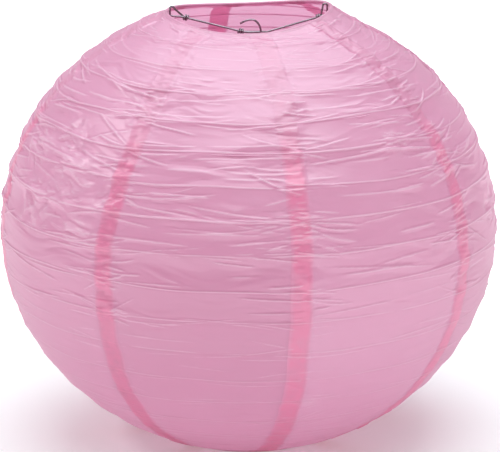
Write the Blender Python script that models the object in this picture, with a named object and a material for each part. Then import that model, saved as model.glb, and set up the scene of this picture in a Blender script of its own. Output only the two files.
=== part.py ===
"""A round paper lantern that stands on its lower ring.

Seventeen wire hoops and two end rings carry eight glued paper gores. A loose wire expander
inside pushes the end rings apart and ends in a hook to hang the lantern by.
The origin is on the floor under the lantern's centre, +Z is up, the lantern's front
faces -Y, and the expander lies in the XZ plane.
"""

import math

import bmesh
import bpy
from mathutils import Vector

# Driving dimensions, in metres
EQUATOR_RADIUS = 0.254  # outer face of the paper at its widest
BODY_ASPECT = 0.911  # height over width of the ellipsoid that the hoops lie on
RING_RADIUS = 0.0828  # centre line of each end ring
RING_WIRE = 0.0025
HOOP_COUNT = 17
HOOP_WIRE = 0.0010
EXPANDER_WIRE = 0.0020
PAPER = 0.0003
GAP = 0.0003  # between any two pieces that touch

# The expander's two arms push the top ring up at +X and -X, so it is bent like a saddle,
# and it stands a little higher at +X than at -X.
RIM_SADDLE = 0.0050
RIM_TILT = 0.0026

# Gores: each starts with a proud strip that is glued over its neighbour's last strip.
GORE_COUNT = 8
SEAM_ANGLE = math.radians(-78.75)  # of the first seam, from +X towards +Y, at a corner of the hoops
SEAM_WIDTH = 0.020
SEAM_STEP = 0.003  # width over which the proud strip comes down to the plain paper

SEGMENTS = 32  # round every hoop and ring
RING_SIDES = 6  # a hexagon, which lies on a flat side
HOOP_SIDES = 4

# Expander, seen along Y: x is measured from the centre, drop from the top ring's middle
RING_CLEARANCE = 0.0008  # leaves room for the paper that is folded over the ring
ARM_TIP = 0.0845
ARM_KNEE_DROP = 0.0021
ARM_CENTRE_DROP = 0.0185
STRUT = 0.0793
CROOK_RADIUS = 0.0022
LEFT, RIGHT = -1, 1  # the wire was bent by hand, so the two sides differ
ARM_KNEE = {LEFT: 0.0670, RIGHT: 0.0745}
ARM_LOW = {LEFT: 0.004, RIGHT: 0.019}  # where each arm reaches its lowest height
STRUT_COIL = {LEFT: 0.0655, RIGHT: 0.0730}  # where each strut starts to wrap round its arm
CROOK_RISE = {LEFT: 0.0057, RIGHT: 0.0077}  # centre of each strut's crook above the ring's middle
HOOK_FOOT = 0.0123
HOOK_TOP = 0.0025
HOOK_RISE = 0.0130
HOOK_END = (-0.0087, 0.0090)  # x, and height above the arms' lowest part
COIL_STEPS = 10  # points in each turn of a coil
WRAP = EXPANDER_WIRE + GAP  # between the centre lines of two wires that touch

HOOP_RADIUS = EQUATOR_RADIUS - PAPER - GAP - HOOP_WIRE / 2
HOOP_HEIGHT = HOOP_RADIUS * BODY_ASPECT
RING_PARAMETER = math.acos(RING_RADIUS / HOOP_RADIUS)
RING_FOOT = RING_WIRE / 2 * math.cos(math.pi / RING_SIDES)
MIDDLE = RING_FOOT + HOOP_HEIGHT * math.sin(RING_PARAMETER)
TOP = 2 * MIDDLE - RING_FOOT
ARMS_LOW = TOP - ARM_CENTRE_DROP
CROSSBAR = RING_FOOT + (RING_WIRE + EXPANDER_WIRE) / 2 + RING_CLEARANCE

PINK_PAPER = ("pink_paper", (0.86, 0.50, 0.68, 1.0), 0.55, 0.0)
PINK_WIRE = ("pink_wire", (0.80, 0.42, 0.58, 1.0), 0.60, 0.0)
BRIGHT_WIRE = ("bright_wire", (0.72, 0.72, 0.74, 1.0), 0.25, 1.0)


def clear_scene():
    for thing in list(bpy.data.objects):
        bpy.data.objects.remove(thing, do_unlink=True)


def give_material(thing, finish):
    name, colour, roughness, metallic = finish
    material = bpy.data.materials.get(name)
    if material is None:
        material = bpy.data.materials.new(name)
        material.use_nodes = True
        shader = material.node_tree.nodes["Principled BSDF"]
        shader.inputs["Base Color"].default_value = colour
        shader.inputs["Roughness"].default_value = roughness
        shader.inputs["Metallic"].default_value = metallic
    thing.data.materials.append(material)


def around(radius, angle, height):
    return Vector((radius * math.cos(angle), radius * math.sin(angle), height))


def rim_rise(angle):
    """Height of the top ring at an angle, above its own middle."""
    return RIM_TILT * math.cos(angle) + RIM_SADDLE * math.cos(2 * angle)


def profile_parameters():
    """The ellipse parameters of the rings and hoops, bottom to top, evenly spaced along the paper."""
    steps = 2000
    parameters = [RING_PARAMETER * (2 * n / steps - 1) for n in range(steps + 1)]
    points = [(HOOP_RADIUS * math.cos(t), HOOP_HEIGHT * math.sin(t)) for t in parameters]
    lengths = [0.0]
    for before, after in zip(points, points[1:]):
        lengths.append(lengths[-1] + math.dist(before, after))
    spans = HOOP_COUNT + 1
    chosen = []
    for n in range(spans + 1):
        wanted = lengths[-1] * n / spans
        nearest = min(range(steps + 1), key=lambda k: abs(lengths[k] - wanted))
        chosen.append(parameters[nearest])
    return chosen


def hoop_radius(parameter):
    return HOOP_RADIUS * math.cos(parameter)


def hoop_level(parameter):
    return MIDDLE + HOOP_HEIGHT * math.sin(parameter)


# Rings and hoops


def make_ring(name, radius, level, wire, sides, finish):
    bpy.ops.mesh.primitive_torus_add(
        major_segments=SEGMENTS,
        minor_segments=sides,
        major_radius=radius,
        minor_radius=wire / 2,
        location=(0, 0, level),
    )
    ring = bpy.context.object
    ring.name = name
    ring.data.shade_smooth()
    give_material(ring, finish)
    return ring


def make_rings():
    make_ring("bottom_ring", RING_RADIUS, RING_FOOT, RING_WIRE, RING_SIDES, BRIGHT_WIRE)
    top = make_ring("top_ring", RING_RADIUS, TOP, RING_WIRE, RING_SIDES, BRIGHT_WIRE)
    for vertex in top.data.vertices:
        vertex.co.z += rim_rise(math.atan2(vertex.co.y, vertex.co.x))


def make_hoops(parameters):
    for number, parameter in enumerate(parameters[1:-1], start=1):
        radius, level = hoop_radius(parameter), hoop_level(parameter)
        make_ring(f"hoop_{number:02d}", radius, level, HOOP_WIRE, HOOP_SIDES, PINK_WIRE)


# Paper


def paper_point(parameter, angle, offset):
    """A point of the paper at one hoop or ring, offset outwards from the wire's own clearance."""
    if abs(parameter) < RING_PARAMETER:
        slope = Vector((math.cos(parameter) / HOOP_RADIUS, math.sin(parameter) / HOOP_HEIGHT))
        outward = slope.normalized() * (HOOP_WIRE / 2 + GAP + offset)
    else:
        outward = Vector((RING_WIRE / 2 + GAP + offset, 0))
    height = hoop_level(parameter) + outward.y
    if parameter >= RING_PARAMETER:
        height += rim_rise(angle)
    return around(hoop_radius(parameter) + outward.x, angle, height)


def gore_columns(parameter):
    """Pairs of an angle from the gore's own seam and how far proud the paper stands there."""
    radius = hoop_radius(parameter)
    width, facet = 2 * math.pi / GORE_COUNT, 2 * math.pi / SEGMENTS
    strip = min(SEAM_WIDTH / radius, 0.95 * facet)  # at the rings it narrows to fit one facet
    step = SEAM_STEP / radius
    proud = PAPER + GAP
    plain = [step, facet, 2 * facet, 3 * facet, width - strip, width]
    return [(-strip, proud), (0.0, proud)] + [(angle, 0.0) for angle in plain]


def make_gore(name, seam, parameters):
    mesh = bmesh.new()

    def layer(extra):
        return [
            [
                mesh.verts.new(paper_point(parameter, seam + angle, proud + extra))
                for angle, proud in gore_columns(parameter)
            ]
            for parameter in parameters
        ]

    def border(grid):
        right = [row[-1] for row in grid[1:-1]]
        left = [row[0] for row in reversed(grid[1:-1])]
        return grid[0] + right + list(reversed(grid[-1])) + left

    inner, outer = layer(0.0), layer(PAPER)
    for grid in (inner, outer):
        for low, high in zip(grid, grid[1:]):
            for n in range(len(low) - 1):
                mesh.faces.new((low[n], low[n + 1], high[n + 1], high[n]))
    inside, outside = border(inner), border(outer)
    for n in range(len(inside)):
        mesh.faces.new((inside[n - 1], inside[n], outside[n], outside[n - 1]))
    bmesh.ops.recalc_face_normals(mesh, faces=mesh.faces)
    data = bpy.data.meshes.new(name)
    mesh.to_mesh(data)
    mesh.free()
    gore = bpy.data.objects.new(name, data)
    bpy.context.collection.objects.link(gore)
    give_material(gore, PINK_PAPER)


def make_paper(parameters):
    width = 2 * math.pi / GORE_COUNT
    for number in range(GORE_COUNT):
        make_gore(f"paper_gore_{number + 1}", SEAM_ANGLE + number * width, parameters)


# Expander


def make_wire(name, points):
    curve = bpy.data.curves.new(name, "CURVE")
    curve.dimensions = "3D"
    curve.bevel_depth = EXPANDER_WIRE / 2
    curve.bevel_resolution = 1
    curve.use_fill_caps = True
    spline = curve.splines.new("POLY")
    spline.points.add(len(points) - 1)
    for place, point in zip(spline.points, points):
        place.co = (*point, 1.0)
    wire = bpy.data.objects.new(name, curve)
    bpy.context.collection.objects.link(wire)
    give_material(wire, BRIGHT_WIRE)


def arc(centre, radius, start, end, steps):
    """Points in a plane parallel to XZ, from one angle to another, in degrees from +X."""
    points = []
    for n in range(steps + 1):
        angle = math.radians(start + (end - start) * n / steps)
        points.append(centre + Vector((radius * math.cos(angle), 0, radius * math.sin(angle))))
    return points


def coil(start, axis, turns):
    """Turns round a wire that runs through start along axis: from its +Y side, down and on along axis."""
    along = axis.normalized()
    side = Vector((0, 1, 0))
    down = side.cross(along)
    if down.z > 0:
        down.negate()
    points = []
    for n in range(round(turns * COIL_STEPS) + 1):
        angle = 2 * math.pi * n / COIL_STEPS
        ahead = along * (WRAP * n / COIL_STEPS)
        points.append(start + ahead + WRAP * (side * math.cos(angle) + down * math.sin(angle)))
    return points


def arm_outer_points(side):
    """An arm's tip under the ring and its knee, for the side at +X (1) or -X (-1)."""
    ring = TOP + rim_rise(0 if side == RIGHT else math.pi)
    under = (RING_WIRE + EXPANDER_WIRE) / 2 + RING_CLEARANCE
    tip = Vector((side * ARM_TIP, 0, ring - under))
    knee = Vector((side * ARM_KNEE[side], 0, TOP - ARM_KNEE_DROP))
    return tip, knee


def arm_foot(side):
    """Where an arm's slope ends."""
    return Vector((side * ARM_LOW[side], 0, ARMS_LOW))


def make_left_arm():
    """One wire from under the ring to the centre, where it turns up into the hanging hook."""
    tip, knee = arm_outer_points(LEFT)
    bend = HOOK_FOOT - HOOK_TOP
    hook = []
    for n in range(9):
        angle = math.radians(90 * n / 8)
        rise = HOOK_RISE * math.sin(angle)
        hook.append(Vector((HOOK_TOP + bend * math.cos(angle), 0, ARMS_LOW + rise)))
    end = Vector((HOOK_END[0], 0, ARMS_LOW + HOOK_END[1]))
    shoulder = Vector((HOOK_TOP - bend / 2, 0, ARMS_LOW + HOOK_RISE * 0.94))
    make_wire("left_arm_with_hook", [tip, knee, arm_foot(LEFT)] + hook + [shoulder, end])


def make_right_arm():
    """One wire from under the ring to the centre, where it wraps round the left arm."""
    tip, knee = arm_outer_points(RIGHT)
    beside = Vector((0, WRAP, 0))
    low = arm_foot(RIGHT)
    slope = arm_outer_points(LEFT)[1] - arm_foot(LEFT)
    start = arm_foot(LEFT) + slope.normalized() * EXPANDER_WIRE / 2
    make_wire("right_arm", [tip, knee, low + beside] + coil(start, slope, 2.5))


def make_strut(name, side):
    """One upright wire: wrapped round the crossbar, up inside the top ring, over in a crook, and round its arm."""
    beside = Vector((0, WRAP, 0))
    inwards = Vector((-side, 0, 0))
    bottom = coil(Vector((side * STRUT, 0, CROSSBAR)), inwards, 2.5)
    centre = Vector((side * (STRUT - CROOK_RADIUS), 0, TOP + CROOK_RISE[side])) + beside
    start, end = (0, 180) if side == RIGHT else (180, 0)
    crook = arc(centre, CROOK_RADIUS, start, end, 6)
    slope = arm_foot(side) - arm_outer_points(side)[1]
    slope.normalize()
    reach = (ARM_KNEE[side] - STRUT_COIL[side]) / abs(slope.x)
    top = coil(arm_outer_points(side)[1] + slope * reach, slope, 2.0)
    make_wire(name, list(reversed(bottom)) + crook + top)


def make_crossbar():
    ends = [Vector((side * ARM_TIP, 0, CROSSBAR)) for side in (LEFT, RIGHT)]
    make_wire("bottom_crossbar", ends)


def make_expander():
    make_left_arm()
    make_right_arm()
    make_strut("left_strut", LEFT)
    make_strut("right_strut", RIGHT)
    make_crossbar()


def main():
    clear_scene()
    parameters = profile_parameters()
    make_rings()
    make_hoops(parameters)
    make_paper(parameters)
    make_expander()


main()
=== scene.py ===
"""The finished look of the round paper lantern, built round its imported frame."""
import math
import bpy
import numpy as np
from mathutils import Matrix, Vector


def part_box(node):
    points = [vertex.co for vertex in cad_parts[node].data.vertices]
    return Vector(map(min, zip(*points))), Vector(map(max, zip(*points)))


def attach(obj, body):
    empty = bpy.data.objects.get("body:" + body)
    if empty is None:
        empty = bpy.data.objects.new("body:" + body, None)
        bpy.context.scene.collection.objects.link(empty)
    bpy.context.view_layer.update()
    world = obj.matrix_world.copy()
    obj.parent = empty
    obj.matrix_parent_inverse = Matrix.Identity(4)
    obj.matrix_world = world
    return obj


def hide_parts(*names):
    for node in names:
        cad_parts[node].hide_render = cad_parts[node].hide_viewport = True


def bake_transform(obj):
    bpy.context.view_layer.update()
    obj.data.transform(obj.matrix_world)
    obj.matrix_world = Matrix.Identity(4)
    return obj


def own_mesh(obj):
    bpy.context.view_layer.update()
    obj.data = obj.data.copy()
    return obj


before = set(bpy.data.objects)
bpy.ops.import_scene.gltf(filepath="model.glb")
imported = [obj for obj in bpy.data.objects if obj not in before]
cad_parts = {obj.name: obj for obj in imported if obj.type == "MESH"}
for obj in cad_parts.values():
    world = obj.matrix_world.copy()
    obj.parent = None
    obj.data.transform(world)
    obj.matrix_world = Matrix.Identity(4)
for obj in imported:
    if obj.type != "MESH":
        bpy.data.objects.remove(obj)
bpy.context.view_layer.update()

# ---------------------------------------------------------------- sizes read from the frame


def wire_circle(node):
    """Radius of a hoop's or ring's centre line, its middle height, and its wire's radius."""
    low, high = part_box(node)
    points = np.array([v.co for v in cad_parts[node].data.vertices])
    reach = np.hypot(points[:, 0], points[:, 1])
    wire = float(reach.max() - reach.min()) / 2
    return (high[0] - low[0]) / 2 - wire, (low[2] + high[2]) / 2, wire


HOOPS = sorted(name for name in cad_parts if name.startswith("hoop_"))
GORES = sorted(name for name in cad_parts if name.startswith("paper_gore_"))
RING_RADIUS, RING_FOOT, RING_WIRE = wire_circle("bottom_ring")
HOOP_CIRCLES = [wire_circle(name) for name in HOOPS]
HOOP_WIRE = HOOP_CIRCLES[0][2]
EQUATOR, MIDDLE = HOOP_CIRCLES[len(HOOPS) // 2][:2]
TOP = 2 * MIDDLE - RING_FOOT

PAPER = 0.0003  # between the paper's line and the wire under it
GAP = 0.0001  # the least gap between the paper and the floor, and between layers of paper
GORE_ANGLE = 2 * math.pi / len(GORES)
FIRST_SEAM = math.radians(-78.2)  # the seam just right of the front
SEAM_LEAN = [0.0, 0.0, -1.5, 1.0, 0.0, 3.0, -1.0, 4.0]  # degrees each seam leans by, above the middle
SEAM_TWIST = [0.0, 0.0, 0.0, 0.0, 5.0, 3.0, 0.0, 0.0]  # degrees more, close to the rim
SEAM_WAVE = math.radians(0.3)
SEAM_WAVE_RATES = (61, 23)  # radians of wave for each metre along the paper
SEAM_WAVE_SHIFT = 2.3  # radians from one seam's wave to the next
LEAN_REACH = (0.50, 0.85)  # shares of the way up between which a seam comes to its full lean
TWIST_REACH = (0.78, 1.0)
SHADED_SEAM = 7  # the seam whose strip is painted darker all the way down, as painted shade
# how much painted shade darkens that strip
STRIP_PAINTED_SHADE = 0.7
CRUSH_PAINTED_GLINTS = 0.4  # painted glints: how much the crushed places are lightened, as their small facets would catch the light
GORE_LOW_SHADE = [0.0, 0.40, 0.10, 0.30, 0.0, 0.20, 0.60, 0.85]  # how much painted shade darkens each gore, low down
STRIP_WIDTH = 0.020
STRIP_PROUD = 0.0005  # how far the strip stands off the gore it is glued over
STRIP_STEP = 0.0012  # the width over which it comes back down to its own gore
STRIP_HALO = 0.0030  # the width of its loose edges
HALO_SHADE = 0.70  # how deep the loose edges look beside the glued middle
PLAIN_SEAMS = (3, 4, 5)  # these seams can be seen inside the opening
PLAIN_KEPT = 0.55  # how much of a strip's shade is left near the top, on those seams
OTHER_KEPT = 0.12  # and on the others
FADE_REACH = (0.66, 0.80)  # shares of the way up between which the shade fades
SHADE_EDGE = 0.0005  # half the width over which the shade begins at a strip's edge


def rim_rise(angle):
    """Height of the top ring above its own middle, read off the ring itself."""
    points = np.array([v.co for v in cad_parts["top_ring"].data.vertices])
    angles = np.round(np.arctan2(points[:, 1], points[:, 0]), 3)
    stations = np.unique(angles)
    stations = stations[stations < math.pi - 0.01]  # half a turn is read from its neighbours
    heights = np.array([points[angles == a, 2].mean() for a in stations])
    return np.interp(angle, stations, heights - TOP, period=2 * math.pi)


# ---------------------------------------------------------------- the paper's line over the wires


def meridian():
    """The paper's corner at each wire, from the bottom ring to the top one, as radius and height,
    and the direction along the paper there."""
    ring_reach = RING_RADIUS + RING_WIRE + PAPER
    wires = [(RING_RADIUS, RING_FOOT)] + [c[:2] for c in HOOP_CIRCLES] + [(RING_RADIUS, TOP)]
    wires = np.array(wires)
    along = np.zeros_like(wires)
    along[1:-1] = wires[2:] - wires[:-2]
    along /= np.maximum(np.hypot(along[:, 0], along[:, 1]), 1e-9)[:, None]
    outward = np.stack([along[:, 1], -along[:, 0]], axis=1)
    corners = wires + outward * (HOOP_WIRE + PAPER)
    corners[0] = (ring_reach, RING_FOOT)
    corners[-1] = (ring_reach, TOP)
    return corners, along


CORNERS, TANGENTS = meridian()
BANDS = len(CORNERS) - 1
LENGTHS = np.hypot(*np.diff(CORNERS, axis=0).T)
STATIONS = np.concatenate([[0], np.cumsum(LENGTHS)])
PAPER_LENGTH = STATIONS[-1]


def smooth(low, high, value):
    """0 up to the low value, 1 from the high one, and an easy slope between them."""
    t = np.clip((value - low) / (high - low), 0, 1)
    return t * t * (3 - 2 * t)


def from_least(least, share):
    """The share, moved into the range from the least to 1."""
    return least + (1 - least) * share


def turn_gap(angle, other):
    """Signed angle from other to angle, within half a turn."""
    return (angle - other + math.pi) % (2 * math.pi) - math.pi


def seam_angle(number, along):
    """Where a seam runs. The paper is a little twisted near the top, so some seams lean there."""
    share = along / PAPER_LENGTH
    turn = number % len(GORES)
    lean = math.radians(SEAM_LEAN[turn]) * smooth(*LEAN_REACH, share)
    twist = math.radians(SEAM_TWIST[turn]) * smooth(*TWIST_REACH, share)
    fast, slow = SEAM_WAVE_RATES
    wave = SEAM_WAVE * np.sin(along * fast + turn * SEAM_WAVE_SHIFT) * np.sin(along * slow + turn)
    return FIRST_SEAM + number * GORE_ANGLE + lean + twist + wave


# ---------------------------------------------------------------- random folds

SEED = 12
NOISE_GAIN = 1.5  # plain waves of this kind reach 0.7 at most
MM = 0.001


class Noise:
    """Smooth random waves, each about as wide and tall as asked, that join up round the lantern."""

    def __init__(self, wide, tall, seed):
        self.columns = max(3, round(2 * math.pi * EQUATOR / wide))
        self.rows = max(2, round(PAPER_LENGTH / tall))
        heading = np.random.default_rng(seed).uniform(0, 2 * math.pi, (self.rows + 2, self.columns))
        self.slope_x, self.slope_y = np.cos(heading), np.sin(heading)

    def __call__(self, angle, along):
        x = (angle / (2 * math.pi) % 1.0) * self.columns
        y = np.clip(along / PAPER_LENGTH, 0, 1) * self.rows
        column, row = np.floor(x).astype(int), np.floor(y).astype(int)
        x, y = x - column, y - row
        ease_x, ease_y = x * x * x * (x * (6 * x - 15) + 10), y * y * y * (y * (6 * y - 15) + 10)

        def corner(right, up):
            place = (row + up, (column + right) % self.columns)
            return self.slope_x[place] * (x - right) + self.slope_y[place] * (y - up)

        low = corner(0, 0) * (1 - ease_x) + corner(1, 0) * ease_x
        high = corner(0, 1) * (1 - ease_x) + corner(1, 1) * ease_x
        return (low * (1 - ease_y) + high * ease_y) * NOISE_GAIN


class Facets:
    """Flat facets of random tilt that meet in sharp creases. The skew, in columns for each row,
    lays the creases nearly level."""

    def __init__(self, wide, tall, size, skew, seed):
        self.columns = max(3, round(2 * math.pi * EQUATOR / wide))
        self.rows = max(2, round(PAPER_LENGTH / tall))
        self.skew = skew
        random = np.random.default_rng(seed)
        self.height = size * random.uniform(-1, 1, (self.rows + 2, self.columns))
        self.crossed = random.random((self.rows + 2, self.columns)) < 0.5

    def __call__(self, angle, along):
        y = np.clip(along / PAPER_LENGTH, 0, 1) * self.rows
        x = angle / (2 * math.pi) * self.columns + self.skew * y
        column, row = np.floor(x).astype(int), np.floor(y).astype(int)
        x, y = x - column, y - row
        left, right = column % self.columns, (column + 1) % self.columns
        a, b = self.height[row, left], self.height[row, right]
        c, d = self.height[row + 1, left], self.height[row + 1, right]
        upper_half = d + (1 - x) * (c - d) + (1 - y) * (b - d)
        falling = np.where(x + y < 1, a + x * (b - a) + y * (c - a), upper_half)
        rising = np.where(y < x, a + x * (b - a) + y * (d - b), a + x * (d - c) + y * (c - a))
        return np.where(self.crossed[row, left], rising, falling)


FOLD_MARGIN = 1.1  # a fold can reach this much further round, where the lantern is narrower
FOLD_TAPER = 0.8  # the powers that shape a fold along its ridge and down its sides
FOLD_SIDE = 1.3


class Folds:
    """Single folds in the paper: sharp ridges, steep above and gentle below, that taper to nothing."""

    def __init__(self):
        self.folds = []

    def add(self, angle, along, half, slope, lift, above, below, bend=0.0):
        radius = float(np.interp(along, STATIONS, CORNERS[:, 0]))
        self.folds.append((angle, along, half, slope, lift, above, below, bend, half / radius))

    def __call__(self, angle, along, radius):
        total = np.zeros_like(angle)
        centre, spread = (angle.min() + angle.max()) / 2, (angle.max() - angle.min()) / 2
        for place, height, half, slope, lift, above, below, bend, half_angle in self.folds:
            if abs(turn_gap(place, centre)) > spread + half_angle * FOLD_MARGIN:
                continue
            reach = abs(slope) * half + abs(bend) * half * half + above + below
            rows = np.flatnonzero(np.abs(along[:, 0] - height) < reach)
            if not len(rows):
                continue
            part = slice(rows[0], rows[-1] + 1)
            x = turn_gap(angle[part], place) * radius[part]
            d = along[part] - height - slope * x - bend * x * x
            taper = np.clip(1 - (x / half) ** 2, 0, 1) ** FOLD_TAPER
            side = np.where(d > 0, d / above, -d / below)
            total[part] += lift * taper * np.clip(1 - side, 0, 1) ** FOLD_SIDE
        return total


LEAST_CREASED = 0.34
CREASED_FROM = (0.34, 0.60)  # shares of the way up between which the creases grow
CREASED_TO = (0.80, 0.90)  # and between which they calm down again
CALMED = 0.80  # by this much
FOLD_SCATTER = 0.015  # how far above or below its rib a fold can be
RIM_FOLDS = 6  # in each gore


def crease_strength(along):
    """How creased the paper is: most above the equator, little low down and near the top."""
    share = along / PAPER_LENGTH
    more = smooth(*CREASED_FROM, share) * (1 - CALMED * smooth(*CREASED_TO, share))
    return from_least(LEAST_CREASED, more)


def make_folds():
    """Every fold of the paper, the same ones each time."""
    random = np.random.default_rng(SEED)
    folds = Folds()
    for gore in range(len(GORES)):
        for band in range(1, BANDS):
            add_seam_fans(folds, random, gore, band)
            add_long_folds(folds, random, gore, band)
        add_rim_folds(folds, random, gore)
    return folds


def add_seam_fans(folds, random, gore, band):
    """Short folds that spread from both edges of the glued strip, where the paper is stiff."""
    for side in (-1, 1):
        for _ in range(random.integers(1, 5)):
            along = STATIONS[band] + random.uniform(-FOLD_SCATTER, FOLD_SCATTER)
            radius = np.interp(along, STATIONS, CORNERS[:, 0])
            half = random.uniform(0.008, 0.030)
            edge = seam_angle(gore, along) - (STRIP_WIDTH / radius if side < 0 else 0)
            centre = edge + side * half * random.uniform(0.2, 1.0) / radius
            folds.add(
                centre, along, half,
                slope=random.normal(0, 0.22),
                lift=random.uniform(0.4, 1.5) * MM * crease_strength(along),
                above=random.uniform(0.0010, 0.0020),
                below=random.uniform(0.0020, 0.0050),
                bend=random.normal(0, 2.0),
            )


def add_long_folds(folds, random, gore, band):
    """Long folds that leave a rib at a low angle and die out before the next seam."""
    for _ in range(random.integers(3, 7)):
        along = STATIONS[band] + random.uniform(-FOLD_SCATTER, FOLD_SCATTER)
        half = random.uniform(0.015, 0.065)
        folds.add(
            seam_angle(gore, along) + random.uniform(0.05, 0.9) * GORE_ANGLE, along, half,
            slope=random.normal(0, 0.08),
            lift=random.uniform(0.35, 1.4) * MM * crease_strength(along),
            above=random.uniform(0.0010, 0.0018),
            below=random.uniform(0.0030, 0.0075),
            bend=random.normal(0, 0.6),
        )


def add_rim_folds(folds, random, gore):
    """Short folds just below the top ring, where the paper is gathered to turn over it."""
    for _ in range(RIM_FOLDS):
        along = PAPER_LENGTH - random.uniform(0.004, 0.013)
        folds.add(
            seam_angle(gore, along) + random.uniform(0.0, 1.0) * GORE_ANGLE, along,
            half=random.uniform(0.006, 0.016),
            slope=random.normal(0, 0.15),
            lift=random.uniform(0.0005, 0.0011),
            above=random.uniform(0.0010, 0.0015),
            below=random.uniform(0.0020, 0.0035),
            bend=random.normal(0, 3.0),
        )


# Places where the paper has been crushed: degrees round from +X, share of the way up, reach in metres.
CRUSHED = [
    (-139, 0.66, 0.045), (-150, 0.60, 0.048), (-145, 0.72, 0.035), (-157, 0.68, 0.040),
    (-134, 0.57, 0.030), (-126, 0.63, 0.025), (-124, 0.50, 0.022), (-122, 0.44, 0.018),
    (-38, 0.67, 0.035), (-50, 0.72, 0.028), (-80, 0.60, 0.018), (-76, 0.27, 0.015),
    (28, 0.60, 0.040), (75, 0.66, 0.035), (120, 0.58, 0.040), (160, 0.68, 0.040),
    (-172, 0.60, 0.030), (-15, 0.56, 0.035),
]
CRUSHED_CORE = 0.35  # share of that reach within which the paper is wholly crushed
CRUSHED_SQUAT = 1.3  # how many times wider than tall a crushed place is

RIB_WANDER = 0.0026  # how far a ridge strays up or down from its wire
WANDER_ROW = 0.37  # where in its band of noise each wire's ridge is read
SAG = 0.0007  # how far the paper sags between two wires
LEAST_SAG = 0.0001
WIDE_SAG = 1.3  # how uneven the sag is, in wide waves and in narrow ones
NARROW_SAG = 0.8
SAG_POWER = 1.5  # above 1, the deepest place is above the middle of the band
DRIFT_ROUND = 0.020  # how far, in radians and in metres, the facets are pushed out of line
DRIFT_ALONG = 0.010
DRIFT_SHIFT = 1.7  # keeps the two pushes from being alike
LOOSE_RANGE = (-0.25, 0.35)  # noise at which the paper is held tight, and is wholly loose
TIGHT_KEPT = 0.3  # how much of the wide facets is left where it is tight
SEAM_REACH = (0.007, 0.028)  # distances from a strip's middle over which its stiffness dies out
SEAM_CRUSH = 0.45  # how crushed the paper is at a strip
PUCKER = 0.00028
RIDGE = 0.00055  # the height and half width of the ridge over each wire
RIDGE_HALF = 0.0010
# How much of the crumples, puckers, ridges and painted crease marks would be left at a crease strength of
# 0.
CRUSH_KEPT = 0.2
PUCKER_KEPT = 0.3
RIDGE_KEPT = 0.35
MARKS_KEPT = 0.40
HELD_REACH = (-0.0004, 0.0024)  # distance from a wire over which the paper comes free of it


class Surface:
    """How far the paper stands off the straight line between its wires."""

    def __init__(self):
        self.wander = Noise(0.100, PAPER_LENGTH / BANDS, SEED)
        self.sag_wide = Noise(0.180, PAPER_LENGTH / BANDS, SEED + 1)
        self.sag_narrow = Noise(0.050, PAPER_LENGTH / BANDS, SEED + 2)
        self.drift = Noise(0.070, 0.040, SEED + 3)
        self.loose = Noise(0.085, 0.045, SEED + 4)
        # Each lattice's facet width, facet height, depth, skew and seed.
        self.flow = [
            Facets(0.060, 0.0130, 0.00110, 0.8, SEED + 5),
            Facets(0.042, 0.0085, 0.00075, -0.9, SEED + 6),
            Facets(0.024, 0.0045, 0.00042, 0.6, SEED + 7),
        ]
        self.crush = [
            Facets(0.017, 0.0120, 0.00210, 0.3, SEED + 8),
            Facets(0.010, 0.0070, 0.00145, -0.4, SEED + 9),
            Facets(0.0060, 0.0042, 0.00065, 0.3, SEED + 10),
        ]
        self.pucker = Noise(0.011, 0.0034, SEED + 11)
        self.folds = make_folds()

    def rib_wander(self, angle, number):
        """How far up the paper's ridge sits from its wire, in metres."""
        ends = 0.0 if number in (0, BANDS, BANDS - 1) else 1.0
        row = np.full_like(angle, (number + WANDER_ROW) / BANDS * PAPER_LENGTH)
        return RIB_WANDER * ends * self.wander(angle, row)

    def sag(self, angle, along, band, t):
        """How far the paper hangs in between two wires, t being the share of the way up from one."""
        middle = (band + 0.5) / BANDS * PAPER_LENGTH
        uneven = 1 + WIDE_SAG * self.sag_wide(angle, middle) + NARROW_SAG * self.sag_narrow(angle, middle)
        depth = SAG * crease_strength(along) * uneven
        eased = t ** SAG_POWER
        return -np.maximum(depth, LEAST_SAG) * 4 * eased * (1 - eased)

    def crushed(self, angle, along, radius):
        """1 in the crushed places, falling to 0 away from them."""
        total = np.zeros_like(angle)
        for degrees, share, reach in CRUSHED:
            across = turn_gap(angle, math.radians(degrees)) * radius
            away = np.hypot(across, CRUSHED_SQUAT * (along - share * PAPER_LENGTH))
            total = np.maximum(total, 1 - smooth(CRUSHED_CORE, 1.0, away / reach))
        return total

    def beside_seams(self, angle, along, radius):
        """1 over the glued strips, falling to 0 away from them."""
        total = np.zeros_like(angle)
        for gore in range(len(GORES)):
            middle = seam_angle(gore, along) - STRIP_WIDTH / 2 / radius
            away = np.abs(turn_gap(angle, middle)) * radius
            total = np.maximum(total, 1 - smooth(*SEAM_REACH, away))
        return total

    def __call__(self, angle, along, radius, band, t):
        strength = crease_strength(along)
        moved_angle = angle + DRIFT_ROUND * self.drift(angle + DRIFT_SHIFT, along)
        moved_along = along + DRIFT_ALONG * self.drift(angle, along)
        loose = smooth(*LOOSE_RANGE, self.loose(angle, along))
        beside = self.beside_seams(angle, along, radius)
        crushed = self.crushed(angle, along, radius)
        offset = self.sag(angle, along, band, t)
        flow = sum(facets(moved_angle, moved_along) for facets in self.flow)
        offset = offset + flow * strength * from_least(TIGHT_KEPT, np.maximum(loose, beside))
        crush = sum(facets(moved_angle, moved_along) for facets in self.crush)
        crumpled = np.maximum(crushed, SEAM_CRUSH * beside)
        offset = offset + crush * crumpled * from_least(CRUSH_KEPT, strength)
        pucker = PUCKER * self.pucker(angle, along)
        offset = offset + pucker * beside * from_least(PUCKER_KEPT, strength)
        offset = offset + self.folds(angle, along, radius)
        held = np.minimum(t, 1 - t) * LENGTHS[band]
        ridge = RIDGE * from_least(RIDGE_KEPT, strength)
        return offset * smooth(*HELD_REACH, held) + ridge * np.exp(-((held / RIDGE_HALF) ** 2))


# ---------------------------------------------------------------- the paper's mesh

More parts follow.
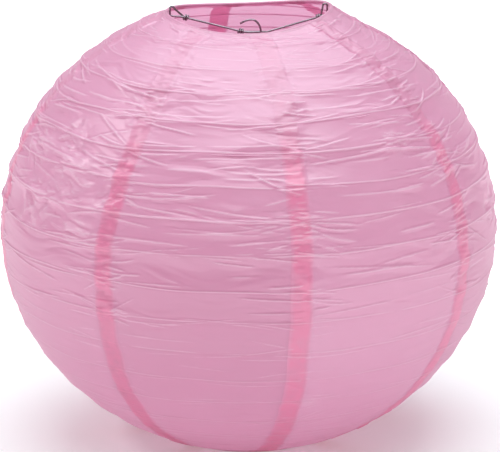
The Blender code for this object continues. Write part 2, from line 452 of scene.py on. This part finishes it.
ROWS_PER_BAND = 50
ROW_CROWDING = 0.15  # above 0, the rows are closer together beside the wires
STRIP_COLUMNS = 10
SIDE_COLUMNS = 22  # beside each seam
MIDDLE_COLUMNS = 44
SIDE_SHARE = 0.22  # share of a gore's width that the columns beside one seam take
TURN_STEPS = 8  # over an end ring
HEM = 0.007
HEM_STEPS = 5
HEM_OUT = 0.62  # how far the hem reaches outward and into the lantern, for each unit of its depth
HEM_INTO = 0.45
HEM_WAVE = 0.12  # how uneven its depth is, and how many times it waves for each radian round
HEM_WAVE_RATE = 23
HEM_SHADE = 0.1
CREASE_BEND = (70.0, 240.0)  # curvature, per metre, from which a crease starts to show, and shows fully


def band_rows(first, last):
    """Band number and place within it of each row, closer together beside the wires."""
    share = np.arange(ROWS_PER_BAND) / ROWS_PER_BAND
    place = share - ROW_CROWDING * np.sin(2 * math.pi * share) / math.pi
    bands = np.repeat(np.arange(first, last), ROWS_PER_BAND)
    places = np.tile(place, last - first)
    return np.append(bands, last - 1), np.append(places, 1.0)


def column_shares():
    """Places across a gore, from seam to seam, closer together beside the seams."""
    left = np.linspace(0, SIDE_SHARE, SIDE_COLUMNS, endpoint=False)
    middle = np.linspace(SIDE_SHARE, 1 - SIDE_SHARE, MIDDLE_COLUMNS, endpoint=False)
    right = np.linspace(1 - SIDE_SHARE, 1, SIDE_COLUMNS + 1)
    return np.concatenate([left, middle, right])


def gore_angles(gore, along, radius):
    """Angle of each column of each row: the proud strip over the last gore, then the gore itself."""
    start, end = seam_angle(gore, along), seam_angle(gore + 1, along)
    strip = np.linspace(-1, 0, STRIP_COLUMNS, endpoint=False)[None, :] * (STRIP_WIDTH / radius)[:, None]
    main = column_shares()[None, :] * (end - start)[:, None]
    return start[:, None] + np.concatenate([strip, main], axis=1)


def fades_upward(seam, along):
    """How plainly a glued strip shows: most are lost in the glare near the top."""
    kept = PLAIN_KEPT if seam % len(GORES) in PLAIN_SEAMS else OTHER_KEPT
    return 1 - (1 - kept) * smooth(*FADE_REACH, along / PAPER_LENGTH)


def strip_shade(seam, angle, along, radius):
    """How doubled the paper looks: full where the strip is stuck down, less at its loose edges."""
    half = STRIP_WIDTH / 2
    away = np.abs(turn_gap(angle, seam_angle(seam, along)) * radius + half)
    inner = half - STRIP_HALO
    halo = 1 - smooth(half - SHADE_EDGE, half + SHADE_EDGE, away)
    core = 1 - smooth(inner - SHADE_EDGE, inner + SHADE_EDGE, away)
    return (HALO_SHADE * halo + (1 - HALO_SHADE) * core) * fades_upward(seam, along)


def crease_marks(offset, along):
    """1 along sharp raised creases, -1 along sharp sunk ones, and 0 on the flat between them. The paper
    is painted lighter along the raised ones as painted highlight, and darker along the sunk ones as
    painted shade.
    """
    step = np.gradient(along, axis=0)
    bend = -np.gradient(np.gradient(offset, axis=0) / step, axis=0) / step
    shown = from_least(MARKS_KEPT, crease_strength(along))
    return np.sign(bend) * smooth(*CREASE_BEND, np.abs(bend)) * shown


def ridge_shift(surface, angle, band, place, first, last):
    """How far out and up the ridges that stray from their wires carry the paper between them."""
    out, up = np.zeros_like(angle), np.zeros_like(angle)
    for number in range(first, last):
        rows = band[:, 0] == number
        low = surface.rib_wander(angle[rows], number) * (1 - place[rows])
        high = surface.rib_wander(angle[rows], number + 1) * place[rows]
        out[rows] = low * TANGENTS[number, 0] + high * TANGENTS[number + 1, 0]
        up[rows] = low * TANGENTS[number, 1] + high * TANGENTS[number + 1, 1]
    return out, up


def crease_shade(surface, offset, angle, along, radius):
    """The painted light and shade of the creases, with painted glints in the crushed places and painted
    shade over one seam's strip.
    """
    painted_glints = CRUSH_PAINTED_GLINTS * surface.crushed(angle, along, radius)
    # painted shade over that seam's strip
    painted_seam_shade = STRIP_PAINTED_SHADE * strip_shade(SHADED_SEAM, angle, along, radius)
    return np.clip(crease_marks(offset, along) + painted_glints - painted_seam_shade, -1, 1)


def sheet_grid(surface, gore, first, last):
    """Points of one gore between two wires, as rows of columns, with how doubled each is and the painted
    light and shade of its creases.
    """
    bands, places = band_rows(first, last)
    line = STATIONS[bands] + LENGTHS[bands] * places
    reach = CORNERS[bands, 0] + (CORNERS[bands + 1, 0] - CORNERS[bands, 0]) * places
    angle = gore_angles(gore, line, reach)
    columns = angle.shape[1]
    band = np.repeat(bands[:, None], columns, axis=1)
    place = np.repeat(places[:, None], columns, axis=1)
    along = np.repeat(line[:, None], columns, axis=1)
    out, up = ridge_shift(surface, angle, band, place, first, last)
    radius = reach[:, None] + out
    step = CORNERS[bands + 1] - CORNERS[bands]
    outward = np.stack([step[:, 1], -step[:, 0]], axis=1) / LENGTHS[bands][:, None]
    cover = 1 - smooth(0, STRIP_STEP, turn_gap(angle, seam_angle(gore, along)) * radius)
    offset = surface(angle, along, radius, band, place)
    creased = crease_shade(surface, offset, angle, along, radius)
    offset = offset + cover * STRIP_PROUD
    r = radius + offset * outward[:, :1]
    z = (CORNERS[bands, 1] + step[:, 1] * places)[:, None] + up + offset * outward[:, 1:]
    z = np.maximum(z, GAP)
    if last == BANDS:
        z = z + rim_rise(angle) * np.where(band == BANDS - 1, place, 0)
    doubled = np.maximum(*(strip_shade(n, angle, along, radius) for n in (gore, gore + 1)))
    return r, z, angle, doubled, creased


def ring_turn(r, z, angle, doubled, creased, at_top):
    """Adds the rows that fold over an end ring and back inside the paper as a hem."""
    sign, edge = (1, -1) if at_top else (-1, 0)
    level = TOP + rim_rise(angle[edge]) if at_top else np.full_like(angle[edge], RING_FOOT)
    wrap = RING_WIRE + PAPER + GAP * (1 + doubled[edge])
    rows = []
    for n in range(1, TURN_STEPS + 1):
        turn = math.pi * n / TURN_STEPS
        rows.append((RING_RADIUS + wrap * math.cos(turn), level + sign * wrap * math.sin(turn)))
    inside = rows[-1][0]
    for n in range(1, HEM_STEPS + 1):
        share = n / HEM_STEPS
        back = HEM * share * (1 + HEM_WAVE * np.sin(angle[edge] * HEM_WAVE_RATE) * share)
        rows.append((inside + HEM_OUT * back, level - sign * (HEM_INTO * back + 2 * GAP)))
    new_r = np.array([row[0] for row in rows])
    new_z = np.maximum(np.array([row[1] for row in rows]), GAP)
    new_angle = np.repeat(angle[edge][None, :], len(rows), axis=0)
    pairs = [(r, new_r), (z, new_z), (angle, new_angle)]
    pairs += [(doubled, np.full_like(new_r, HEM_SHADE)), (creased, np.zeros_like(new_r))]
    if at_top:
        return [np.concatenate([old, new]) for old, new in pairs]
    return [np.concatenate([new[::-1], old]) for old, new in pairs]


def join_grids(grids):
    """Corners and faces of one or more grids, with how doubled each corner is and its painted crease
    light and shade.
    """
    corners, faces, doubles, creases = [], [], [], []
    start = 0
    for r, z, angle, doubled, creased in grids:
        rows, columns = r.shape
        corners.append(np.stack([r * np.cos(angle), r * np.sin(angle), z], axis=-1).reshape(-1, 3))
        index = start + np.arange(rows * columns).reshape(rows, columns)
        quads = np.stack([index[:-1, :-1], index[:-1, 1:], index[1:, 1:], index[1:, :-1]], axis=-1)
        faces.append(quads.reshape(-1, 4))
        doubles.append(doubled.reshape(-1))
        creases.append(creased.reshape(-1))
        start += rows * columns
    corners, doubles, creases = (
        np.concatenate(part).astype(np.float32) for part in (corners, doubles, creases)
    )
    return corners, np.concatenate(faces), doubles, creases


def grid_object(name, grids):
    """One mesh from one or more grids, with each point's place at rest."""
    corners, faces, doubles, creases = join_grids(grids)
    mesh = bpy.data.meshes.new(name)
    mesh.vertices.add(len(corners))
    mesh.vertices.foreach_set("co", corners.ravel())
    mesh.loops.add(faces.size)
    mesh.loops.foreach_set("vertex_index", faces.astype(np.int32).ravel())
    mesh.polygons.add(len(faces))
    mesh.polygons.foreach_set("loop_start", np.arange(0, faces.size, 4, dtype=np.int32))
    mesh.update(calc_edges=True)
    mesh.validate()
    rest = mesh.attributes.new("rest", "FLOAT_VECTOR", "POINT")
    rest.data.foreach_set("vector", corners.ravel())
    for field, values in (("doubled", doubles), ("creased", creases)):
        attribute = mesh.attributes.new(field, "FLOAT", "POINT")
        attribute.data.foreach_set("value", values)
    mesh.shade_smooth()
    thing = bpy.data.objects.new(name, mesh)
    bpy.context.collection.objects.link(thing)
    return thing


# ---------------------------------------------------------------- materials


class Nodes:
    """A new material's node tree, with short calls to add and link nodes."""

    def __init__(self, name):
        self.material = bpy.data.materials.new(name)
        self.material.use_nodes = True
        self.tree = self.material.node_tree
        self.shader = self.tree.nodes["Principled BSDF"]
        self.output = self.tree.nodes["Material Output"]

    def add(self, kind, **settings):
        node = self.tree.nodes.new(kind)
        for key, value in settings.items():
            if key in node.bl_rna.properties:
                setattr(node, key, value)
            else:
                node.inputs[key.replace("_", " ")].default_value = value
        return node

    def join(self, value, socket):
        if isinstance(value, bpy.types.NodeSocket):
            self.tree.links.new(value, socket)
        else:
            socket.default_value = value

    def noise(self, vector, scale, detail=2.0, roughness=0.5):
        node = self.add("ShaderNodeTexNoise", Scale=scale, Detail=detail, Roughness=roughness)
        self.join(vector, node.inputs["Vector"])
        return node.outputs["Fac"]

    def mix(self, factor, first, second):
        node = self.add("ShaderNodeMix", data_type="RGBA")
        self.join(factor, node.inputs[0])
        self.join(first, node.inputs[6])
        self.join(second, node.inputs[7])
        return node.outputs[2]

    def math(self, operation, first, second):
        node = self.add("ShaderNodeMath", operation=operation)
        self.join(first, node.inputs[0])
        self.join(second, node.inputs[1])
        return node.outputs[0]

    def fade(self, value, low, high, first=0.0, last=1.0):
        node = self.add("ShaderNodeMapRange", interpolation_type="SMOOTHSTEP")
        self.join(value, node.inputs["Value"])
        limits = {"From Min": low, "From Max": high, "To Min": first, "To Max": last}
        for socket, number in limits.items():
            node.inputs[socket].default_value = number
        return node.outputs["Result"]

    def bump(self, height, strength, distance):
        node = self.add("ShaderNodeBump", Strength=strength, Distance=distance)
        self.join(height, node.inputs["Height"])
        self.join(node.outputs["Normal"], self.shader.inputs["Normal"])


# The colours of the paper's face and of the light through it: plain, doubled, and darker low down as
# painted shade.
FACE = (0.73, 0.345, 0.520, 1.0)
FACE_LIGHT = (0.79, 0.405, 0.585, 1.0)
FACE_DOUBLE = (0.86, 0.310, 0.510, 1.0)
THROUGH = (0.89, 0.51, 0.68, 1.0)
THROUGH_DOUBLE = (1.0, 0.46, 0.67, 1.0)
FACE_LOW_SHADE = (0.64, 0.27, 0.43, 1.0)
THROUGH_LOW_SHADE = (0.80, 0.41, 0.58, 1.0)
# The fibres' colour, also painted on raised creases and crushed places as painted highlight and glints.
FIBRE_AND_HIGHLIGHT = (0.97, 0.75, 0.87, 1.0)
# Painted shade for sunk creases and for one seam's strip.
SUNK_SHADE = (0.50, 0.15, 0.30, 1.0)
FIBRE_SHARE = 0.12  # the most that the fibres lighten the face
RAISED_HIGHLIGHT_SHARE = 0.60  # the most that a raised crease is lightened, as painted highlight
SUNK_SHADE_SHARE = 0.38  # the most that a sunk crease is darkened, as painted shade
SHINES_THROUGH = 0.42
GLUE_PATCHES = 1.6  # how patchy the doubled colour is
GLUE_LEAST = 0.15
LOW_SHADE_TOP = (MIDDLE - 0.03, MIDDLE + 0.09)  # heights between which the painted shade low down dies out upward
LOW_SHADE_FOOT = (0.02, 0.14)  # and between which it comes in from the foot
PAPER_FINISH = {
    "Roughness": 0.39,
    "IOR": 1.75,
    "Specular IOR Level": 1.0,
    "Sheen Weight": 0.25,
    "Sheen Roughness": 0.4,
}


def paper_material(depth=0.0):
    """Thin glazed paper that light shines through, deeper in colour where two layers are glued
    together. The depth is how much painted shade darkens it on the lantern's lower half."""
    nodes = Nodes("thin_pink_paper")
    rest = nodes.add("ShaderNodeAttribute", attribute_name="rest").outputs["Vector"]
    doubled = nodes.add("ShaderNodeAttribute", attribute_name="doubled").outputs["Fac"]
    creased = nodes.add("ShaderNodeAttribute", attribute_name="creased").outputs["Fac"]
    mottle = nodes.noise(rest, scale=24.0, detail=3.0, roughness=0.6)
    glue = nodes.noise(rest, scale=70.0)
    fibre = nodes.noise(rest, scale=520.0, detail=4.0, roughness=0.65)
    patches = nodes.math("ADD", nodes.math("MULTIPLY", glue, GLUE_PATCHES), GLUE_LEAST)
    double = nodes.math("MULTIPLY", doubled, patches)
    height = nodes.add("ShaderNodeSeparateXYZ")
    nodes.join(rest, height.inputs["Vector"])
    # painted shade: the paper is darker on the lower half
    low_shade = nodes.fade(height.outputs["Z"], *LOW_SHADE_TOP, depth, 0.0)
    low_shade = nodes.math("MULTIPLY", low_shade, nodes.fade(height.outputs["Z"], *LOW_SHADE_FOOT))
    face = nodes.mix(mottle, FACE, FACE_LIGHT)
    face = nodes.mix(nodes.math("MULTIPLY", fibre, FIBRE_SHARE), face, FIBRE_AND_HIGHLIGHT)
    face = nodes.mix(double, nodes.mix(low_shade, face, FACE_LOW_SHADE), FACE_DOUBLE)
    # painted highlight along raised creases, and painted glints in the crushed places
    face = nodes.mix(nodes.fade(creased, 0.0, 1.0, 0.0, RAISED_HIGHLIGHT_SHARE), face, FIBRE_AND_HIGHLIGHT)
    # painted shade in sunk creases and over one seam's strip
    face = nodes.mix(nodes.fade(creased, -1.0, 0.0, SUNK_SHADE_SHARE, 0.0), face, SUNK_SHADE)
    shader = nodes.shader
    nodes.join(face, shader.inputs["Base Color"])
    nodes.bump(fibre, strength=0.3, distance=0.0002)
    for socket, value in PAPER_FINISH.items():
        shader.inputs[socket].default_value = value
    through = nodes.add("ShaderNodeBsdfTranslucent")
    # the light through the paper is painted darker low down too
    shine = nodes.mix(double, nodes.mix(low_shade, THROUGH, THROUGH_LOW_SHADE), THROUGH_DOUBLE)
    nodes.join(shine, through.inputs["Color"])
    both = nodes.add("ShaderNodeMixShader", Fac=SHINES_THROUGH)
    nodes.join(shader.outputs["BSDF"], both.inputs[1])
    nodes.join(through.outputs["BSDF"], both.inputs[2])
    nodes.join(both.outputs["Shader"], nodes.output.inputs["Surface"])
    return nodes.material


# Each wire's colour, its dull patches' colour, metallic, roughness and the scale of its grain.
COVERED = (0.86, 0.50, 0.66, 1), (0.74, 0.38, 0.54, 1), 0.0, 0.6, 900.0
ZINC = (0.84, 0.74, 0.79, 1), (0.74, 0.62, 0.69, 1), 0.0, 0.45, 900.0
STEEL = (0.40, 0.33, 0.37, 1), (0.06, 0.03, 0.05, 1), 1.0, 0.13, 1400.0
DULL_SHARE = 0.8
STREAK_ROUGHNESS = 0.18  # between the roughest streaks and the smoothest


def wire_material(name, colour, dark, metallic, roughness, grain):
    """Drawn wire with fine streaks and dull patches."""
    nodes = Nodes(name)
    place = nodes.add("ShaderNodeTexCoord").outputs["Object"]
    streak = nodes.noise(place, grain, detail=3.0, roughness=0.6)
    patches = nodes.noise(place, scale=60.0)
    face = nodes.mix(nodes.math("MULTIPLY", patches, DULL_SHARE), colour, dark)
    nodes.join(face, nodes.shader.inputs["Base Color"])
    uneven = nodes.math("MULTIPLY", streak, STREAK_ROUGHNESS)
    rough = nodes.math("ADD", uneven, roughness - STREAK_ROUGHNESS / 2)
    nodes.join(rough, nodes.shader.inputs["Roughness"])
    nodes.bump(streak, strength=0.25, distance=0.00005)
    nodes.shader.inputs["Metallic"].default_value = metallic
    return nodes.material


# ---------------------------------------------------------------- wires

RING_SEEN = RING_FOOT - 2 * GAP  # leaves room for the paper between the ring and the floor
POKING_HOOP = 7
POKING_ANGLE = math.radians(-4)
POKING_TURN = math.radians(2.5)  # how far round the loose wire end reaches
POKING_INSIDE = 0.0014  # how far inside its hoop's line it starts
POKING_OUT = 0.0060  # how far it moves outward and down from there
POKING_DOWN = 0.0012
POKING_THICKNESS = 1.4  # times as thick as its hoop's wire


def tube_corners(points, radius, sides, closed):
    """Circles of corners round each point of a path, without twist from one to the next."""
    count = len(points)
    corners = []
    side = None
    for n, point in enumerate(points):
        before = points[n - 1] if n or closed else point
        after = points[(n + 1) % count] if n < count - 1 or closed else point
        tangent = (after - before).normalized()
        side = tangent.orthogonal() if side is None else side - tangent * side.dot(tangent)
        side.normalize()
        other = tangent.cross(side)
        for k in range(sides):
            angle = 2 * math.pi * k / sides
            corners.append(point + (side * math.cos(angle) + other * math.sin(angle)) * radius)
    return corners


def tube_faces(count, sides, closed):
    """The faces between each circle and the next, and over the ends unless the path is closed."""
    faces = []
    for n in range(count if closed else count - 1):
        low, high = n * sides, (n + 1) % count * sides
        for k in range(sides):
            m = (k + 1) % sides
            faces.append((low + k, low + m, high + m, high + k))
    if not closed:
        faces.append(tuple(reversed(range(sides))))
        faces.append(tuple(range((count - 1) * sides, count * sides)))
    return faces


def tube(name, points, radius, sides=12, closed=False):
    """A round wire along a path, with flat cut ends unless the path is closed."""
    points = [Vector(p) for p in points]
    corners = tube_corners(points, radius, sides, closed)
    faces = tube_faces(len(points), sides, closed)
    mesh = bpy.data.meshes.new(name)
    mesh.from_pydata(corners, [], faces)
    mesh.polygons.foreach_set("use_smooth", [len(face) == 4 for face in faces])
    thing = bpy.data.objects.new(name, mesh)
    bpy.context.collection.objects.link(thing)
    return thing


def circle_points(radius, level, rise=None, count=160):
    """A circle's points. The rise, where there is one, gives the height added at each angle."""
    points = []
    for n in range(count):
        angle = -math.pi + 2 * math.pi * n / count
        height = level + (float(rise(angle)) if rise else 0.0)
        points.append((radius * math.cos(angle), radius * math.sin(angle), height))
    return points


def make_hoops(material):
    for name, (radius, level, wire) in zip(HOOPS, HOOP_CIRCLES):
        hoop = tube(f"{name}_wire", circle_points(radius, level), wire, sides=8, closed=True)
        hoop.data.materials.append(material)
        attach(hoop, name)
        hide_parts(name)


def make_wire_end(material):
    """The end of one hoop's wire, which pokes out through the paper."""
    radius, level = HOOP_CIRCLES[POKING_HOOP - 1][:2]
    path = []
    for share in (0.0, 0.25, 0.5, 0.75, 1.0):
        angle = POKING_ANGLE + POKING_TURN * share
        reach = radius - POKING_INSIDE + POKING_OUT * share
        path.append((reach * math.cos(angle), reach * math.sin(angle), level - POKING_DOWN * share))
    end = tube(f"hoop_{POKING_HOOP:02d}_wire_end", path, HOOP_WIRE * POKING_THICKNESS, sides=8)
    end.data.materials.append(material)
    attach(end, f"hoop_{POKING_HOOP:02d}")


def make_rings(material):
    for name, level, body, rise in (
        ("bottom_ring", RING_FOOT, "base", None),
        ("top_ring", TOP, "top_ring", rim_rise),
    ):
        ring = tube(f"{name}_wire", circle_points(RING_RADIUS, level, rise), RING_SEEN, closed=True)
        ring.data.materials.append(material)
        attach(ring, body)
        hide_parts(name)


# ---------------------------------------------------------------- the wire expander

WIRE = 0.0010  # radius of the expander's wires
WRAP = 2 * WIRE + 0.0003  # between the centre lines of two wires that touch
ARM_TIP = 0.0845
ARM_KNEE_DROP = 0.0021
ARMS_LOW = TOP - 0.0185
STRUT = 0.0793
CROOK_RADIUS = 0.0022
LEFT, RIGHT = -1, 1
ARM_KNEE = {LEFT: 0.0670, RIGHT: 0.0745}
ARM_LOW = {LEFT: 0.004, RIGHT: 0.019}
STRUT_COIL = {LEFT: 0.0655, RIGHT: 0.0730}
CROOK_RISE = {LEFT: 0.0057, RIGHT: 0.0077}
ARM_BEND = 0.004  # how far from a corner the arms start to bend round it
STRUT_BEND = 0.0015
WRAP_TURNS = 2.5
STRUT_TURNS = 2.0
HOOK_FOOT = 0.0123
HOOK_TOP = 0.0025
HOOK_RISE = 0.0130
HOOK_END = (-0.0087, 0.0090)
HOOK_STEPS = 8
HOOK_SHOULDER = 0.94  # the height, as a share of the hook's rise, at which its top turns down
MOST_CUT = 0.45  # the most of each side that a bend takes
RING_CLEARANCE = 0.0008
UNDER_RING = RING_WIRE + WIRE + RING_CLEARANCE
CROSSBAR = RING_FOOT + UNDER_RING


def arc(centre, radius, start, end, steps):
    """Points in a plane parallel to XZ, from one angle to another, in degrees from +X."""
    angles = [math.radians(start + (end - start) * n / steps) for n in range(steps + 1)]
    return [centre + Vector((radius * math.cos(a), 0, radius * math.sin(a))) for a in angles]


def coil(start, axis, turns, steps=24):
    """Turns round a wire that runs through start along axis: from its +Y side, down and onward."""
    along = axis.normalized()
    side = Vector((0, 1, 0))
    down = side.cross(along)
    if down.z > 0:
        down.negate()
    points = []
    for n in range(round(turns * steps) + 1):
        angle = 2 * math.pi * n / steps
        ahead = along * (WRAP * n / steps)
        points.append(start + ahead + WRAP * (side * math.cos(angle) + down * math.sin(angle)))
    return points


def bent(points, reach, steps=8):
    """The same path with its corners rounded, as in wire that was bent round a peg."""
    path = [points[0]]
    for before, corner, after in zip(points, points[1:], points[2:]):
        back, on = before - corner, after - corner
        first = corner + back * min(reach / back.length, MOST_CUT)
        last = corner + on * min(reach / on.length, MOST_CUT)
        for n in range(steps + 1):
            t = n / steps
            path.append(first * (1 - t) ** 2 + corner * (2 * t * (1 - t)) + last * t * t)
    return path + [points[-1]]


def arm_knee(side):
    """Where an arm, coming in from under the ring, starts to slope down to the middle."""
    return Vector((side * ARM_KNEE[side], 0, TOP - ARM_KNEE_DROP))


def arm_foot(side):
    """The low end of that slope."""
    return Vector((side * ARM_LOW[side], 0, ARMS_LOW))


def arm_tip(side):
    """The arm's outer end, under the ring."""
    ring = TOP + float(rim_rise(0 if side == RIGHT else math.pi))
    return Vector((side * ARM_TIP, 0, ring - UNDER_RING))


def left_arm_path():
    """From under the ring to the centre, where it turns up into the hanging hook."""
    turn = HOOK_FOOT - HOOK_TOP
    hook = []
    for n in range(HOOK_STEPS + 1):
        angle = math.radians(90 * n / HOOK_STEPS)
        rise = HOOK_RISE * math.sin(angle)
        hook.append(Vector((HOOK_TOP + turn * math.cos(angle), 0, ARMS_LOW + rise)))
    shoulder = Vector((HOOK_TOP - turn / 2, 0, ARMS_LOW + HOOK_RISE * HOOK_SHOULDER))
    end = Vector((HOOK_END[0], 0, ARMS_LOW + HOOK_END[1]))
    return bent([arm_tip(LEFT), arm_knee(LEFT), arm_foot(LEFT)] + hook + [shoulder, end], ARM_BEND)


def right_arm_path():
    """From under the ring to the centre, where it wraps round the left arm."""
    slope = arm_knee(LEFT) - arm_foot(LEFT)
    start = arm_foot(LEFT) + slope.normalized() * WIRE
    low = arm_foot(RIGHT) + Vector((0, WRAP, 0))
    arm = bent([arm_tip(RIGHT), arm_knee(RIGHT), low], ARM_BEND)[:-1]
    return arm + bent([low] + coil(start, slope, WRAP_TURNS), ARM_BEND / 2)


def strut_path(side):
    """Round the crossbar, up inside the top ring, over in a crook and round its own arm."""
    bottom = coil(Vector((side * STRUT, 0, CROSSBAR)), Vector((-side, 0, 0)), WRAP_TURNS)
    centre = Vector((side * (STRUT - CROOK_RADIUS), WRAP, TOP + CROOK_RISE[side]))
    start, end = (0, 180) if side == RIGHT else (180, 0)
    crook = arc(centre, CROOK_RADIUS, start, end, 16)
    slope = (arm_foot(side) - arm_knee(side)).normalized()
    reach = (ARM_KNEE[side] - STRUT_COIL[side]) / abs(slope.x)
    wraps = coil(arm_knee(side) + slope * reach, slope, STRUT_TURNS)
    return bent(list(reversed(bottom)) + crook + wraps, STRUT_BEND, 3)


def make_expander(material):
    crossbar = [Vector((side * ARM_TIP, 0, CROSSBAR)) for side in (LEFT, RIGHT)]
    paths = {
        "left_arm_with_hook": left_arm_path(),
        "right_arm": right_arm_path(),
        "left_strut": strut_path(LEFT),
        "right_strut": strut_path(RIGHT),
        "bottom_crossbar": crossbar,
    }
    for name, path in paths.items():
        wire = tube(f"{name}_wire", path, WIRE)
        wire.data.materials.append(material)
        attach(wire, "expander")
        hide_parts(name)


# ---------------------------------------------------------------- the paper pieces


def make_paper():
    surface = Surface()
    collars = []
    for number, name in enumerate(GORES):
        grid = ring_turn(*sheet_grid(surface, number, 0, BANDS - 1), at_top=False)
        gore = grid_object(f"{name}_sheet", [grid])
        gore.data.materials.append(paper_material(GORE_LOW_SHADE[number]))
        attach(gore, "base")
        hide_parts(name)
        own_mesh(gore)
        collars.append(ring_turn(*sheet_grid(surface, number, BANDS - 1, BANDS), at_top=True))
    collar = grid_object("top_collar_sheet", collars)
    collar.data.materials.append(paper_material())
    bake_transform(collar)


# ---------------------------------------------------------------- stage, light and camera

VIEW_DISTANCE = 12 * 0.254  # twelve times the lantern's radius
VIEW_ELEVATION = math.radians(15)
VIEW_AZIMUTH = math.radians(-2)
LENS = 213.8
AIM_RIGHT = 0.0013  # how far the picture's middle is from the lantern's
AIM_DOWN = 0.0031
SKY = 0.34  # the strength of the light from all round
FLOOR_COLOUR = (0.82, 0.82, 0.82, 1)
FLOOR_TINT = (1.0, 0.965, 0.975, 1)
GLOW_REACH = (0.25, 0.80)  # distances from the middle between which the floor's own light grows
GLOW = (0.20, 0.68)  # and its strength there
# Each light's name, place, size, power and tint. All of them aim at the lantern's middle.
LIGHTS = [
    ("overhead", (0.05, 0.5, 2.3), (2.4, 2.6), 54, (0.85, 0.97, 1.0)),
    ("front_fill", (0.3, -1.3, 2.5), (2.2, 1.1), 22, (0.94, 0.98, 1.0)),
    ("left_side", (-1.8, 0.0, 1.70), (0.25, 0.45), 10, (0.97, 1.0, 1.0)),
    ("right_side", (1.9, -0.6, 1.3), (0.6, 0.9), 2, (1.0, 1.0, 1.0)),
]


def make_stage():
    bpy.ops.mesh.primitive_plane_add(size=40, location=(0, 0, 0))
    floor = bpy.context.object
    floor.name = "floor"
    nodes = Nodes("pale_floor")
    nodes.shader.inputs["Base Color"].default_value = FLOOR_COLOUR
    nodes.shader.inputs["Roughness"].default_value = 0.9
    nodes.shader.inputs["Emission Color"].default_value = FLOOR_TINT
    place = nodes.add("ShaderNodeTexCoord").outputs["Object"]
    away = nodes.add("ShaderNodeVectorMath", operation="LENGTH")
    nodes.join(place, away.inputs[0])
    glow = nodes.fade(away.outputs["Value"], *GLOW_REACH, *GLOW)
    nodes.join(glow, nodes.shader.inputs["Emission Strength"])
    floor.data.materials.append(nodes.material)


def area_light(name, place, size, power, tint):
    light = bpy.data.lights.new(name, "AREA")
    light.color = tint
    light.shape = "RECTANGLE"
    light.size, light.size_y = size
    light.energy = power
    thing = bpy.data.objects.new(name, light)
    bpy.context.collection.objects.link(thing)
    thing.location = place
    aim = Vector((0, 0, MIDDLE)) - Vector(place)
    thing.rotation_euler = aim.to_track_quat("-Z", "Y").to_euler()


def make_light():
    world = bpy.data.worlds.new("studio")
    bpy.context.scene.world = world
    world.use_nodes = True
    background = world.node_tree.nodes["Background"]
    background.inputs["Color"].default_value = (1.0, 1.0, 1.0, 1)
    background.inputs["Strength"].default_value = SKY
    for light in LIGHTS:
        area_light(*light)


def make_camera():
    camera = bpy.data.cameras.new("camera")
    camera.lens = LENS
    camera.sensor_width = 36
    thing = bpy.data.objects.new("camera", camera)
    bpy.context.collection.objects.link(thing)
    flat = Vector((math.sin(VIEW_AZIMUTH), -math.cos(VIEW_AZIMUTH), 0))
    back = flat * math.cos(VIEW_ELEVATION) + Vector((0, 0, math.sin(VIEW_ELEVATION)))
    up = Vector((0, 0, math.cos(VIEW_ELEVATION))) - flat * math.sin(VIEW_ELEVATION)
    right = up.cross(back)
    aim = Vector((0, 0, MIDDLE)) + right * AIM_RIGHT - up * AIM_DOWN
    thing.location = aim + back * VIEW_DISTANCE
    thing.rotation_euler = (-back).to_track_quat("-Z", "Y").to_euler()
    bpy.context.scene.camera = thing


make_camera()
make_light()
make_stage()
make_paper()
make_hoops(wire_material("pink_covered_wire", *COVERED))
make_rings(wire_material("zinc_coated_wire", *ZINC))
steel = wire_material("bright_drawn_wire", *STEEL)
make_wire_end(steel)
make_expander(steel)
bpy.context.scene.view_settings.view_transform = "Standard"
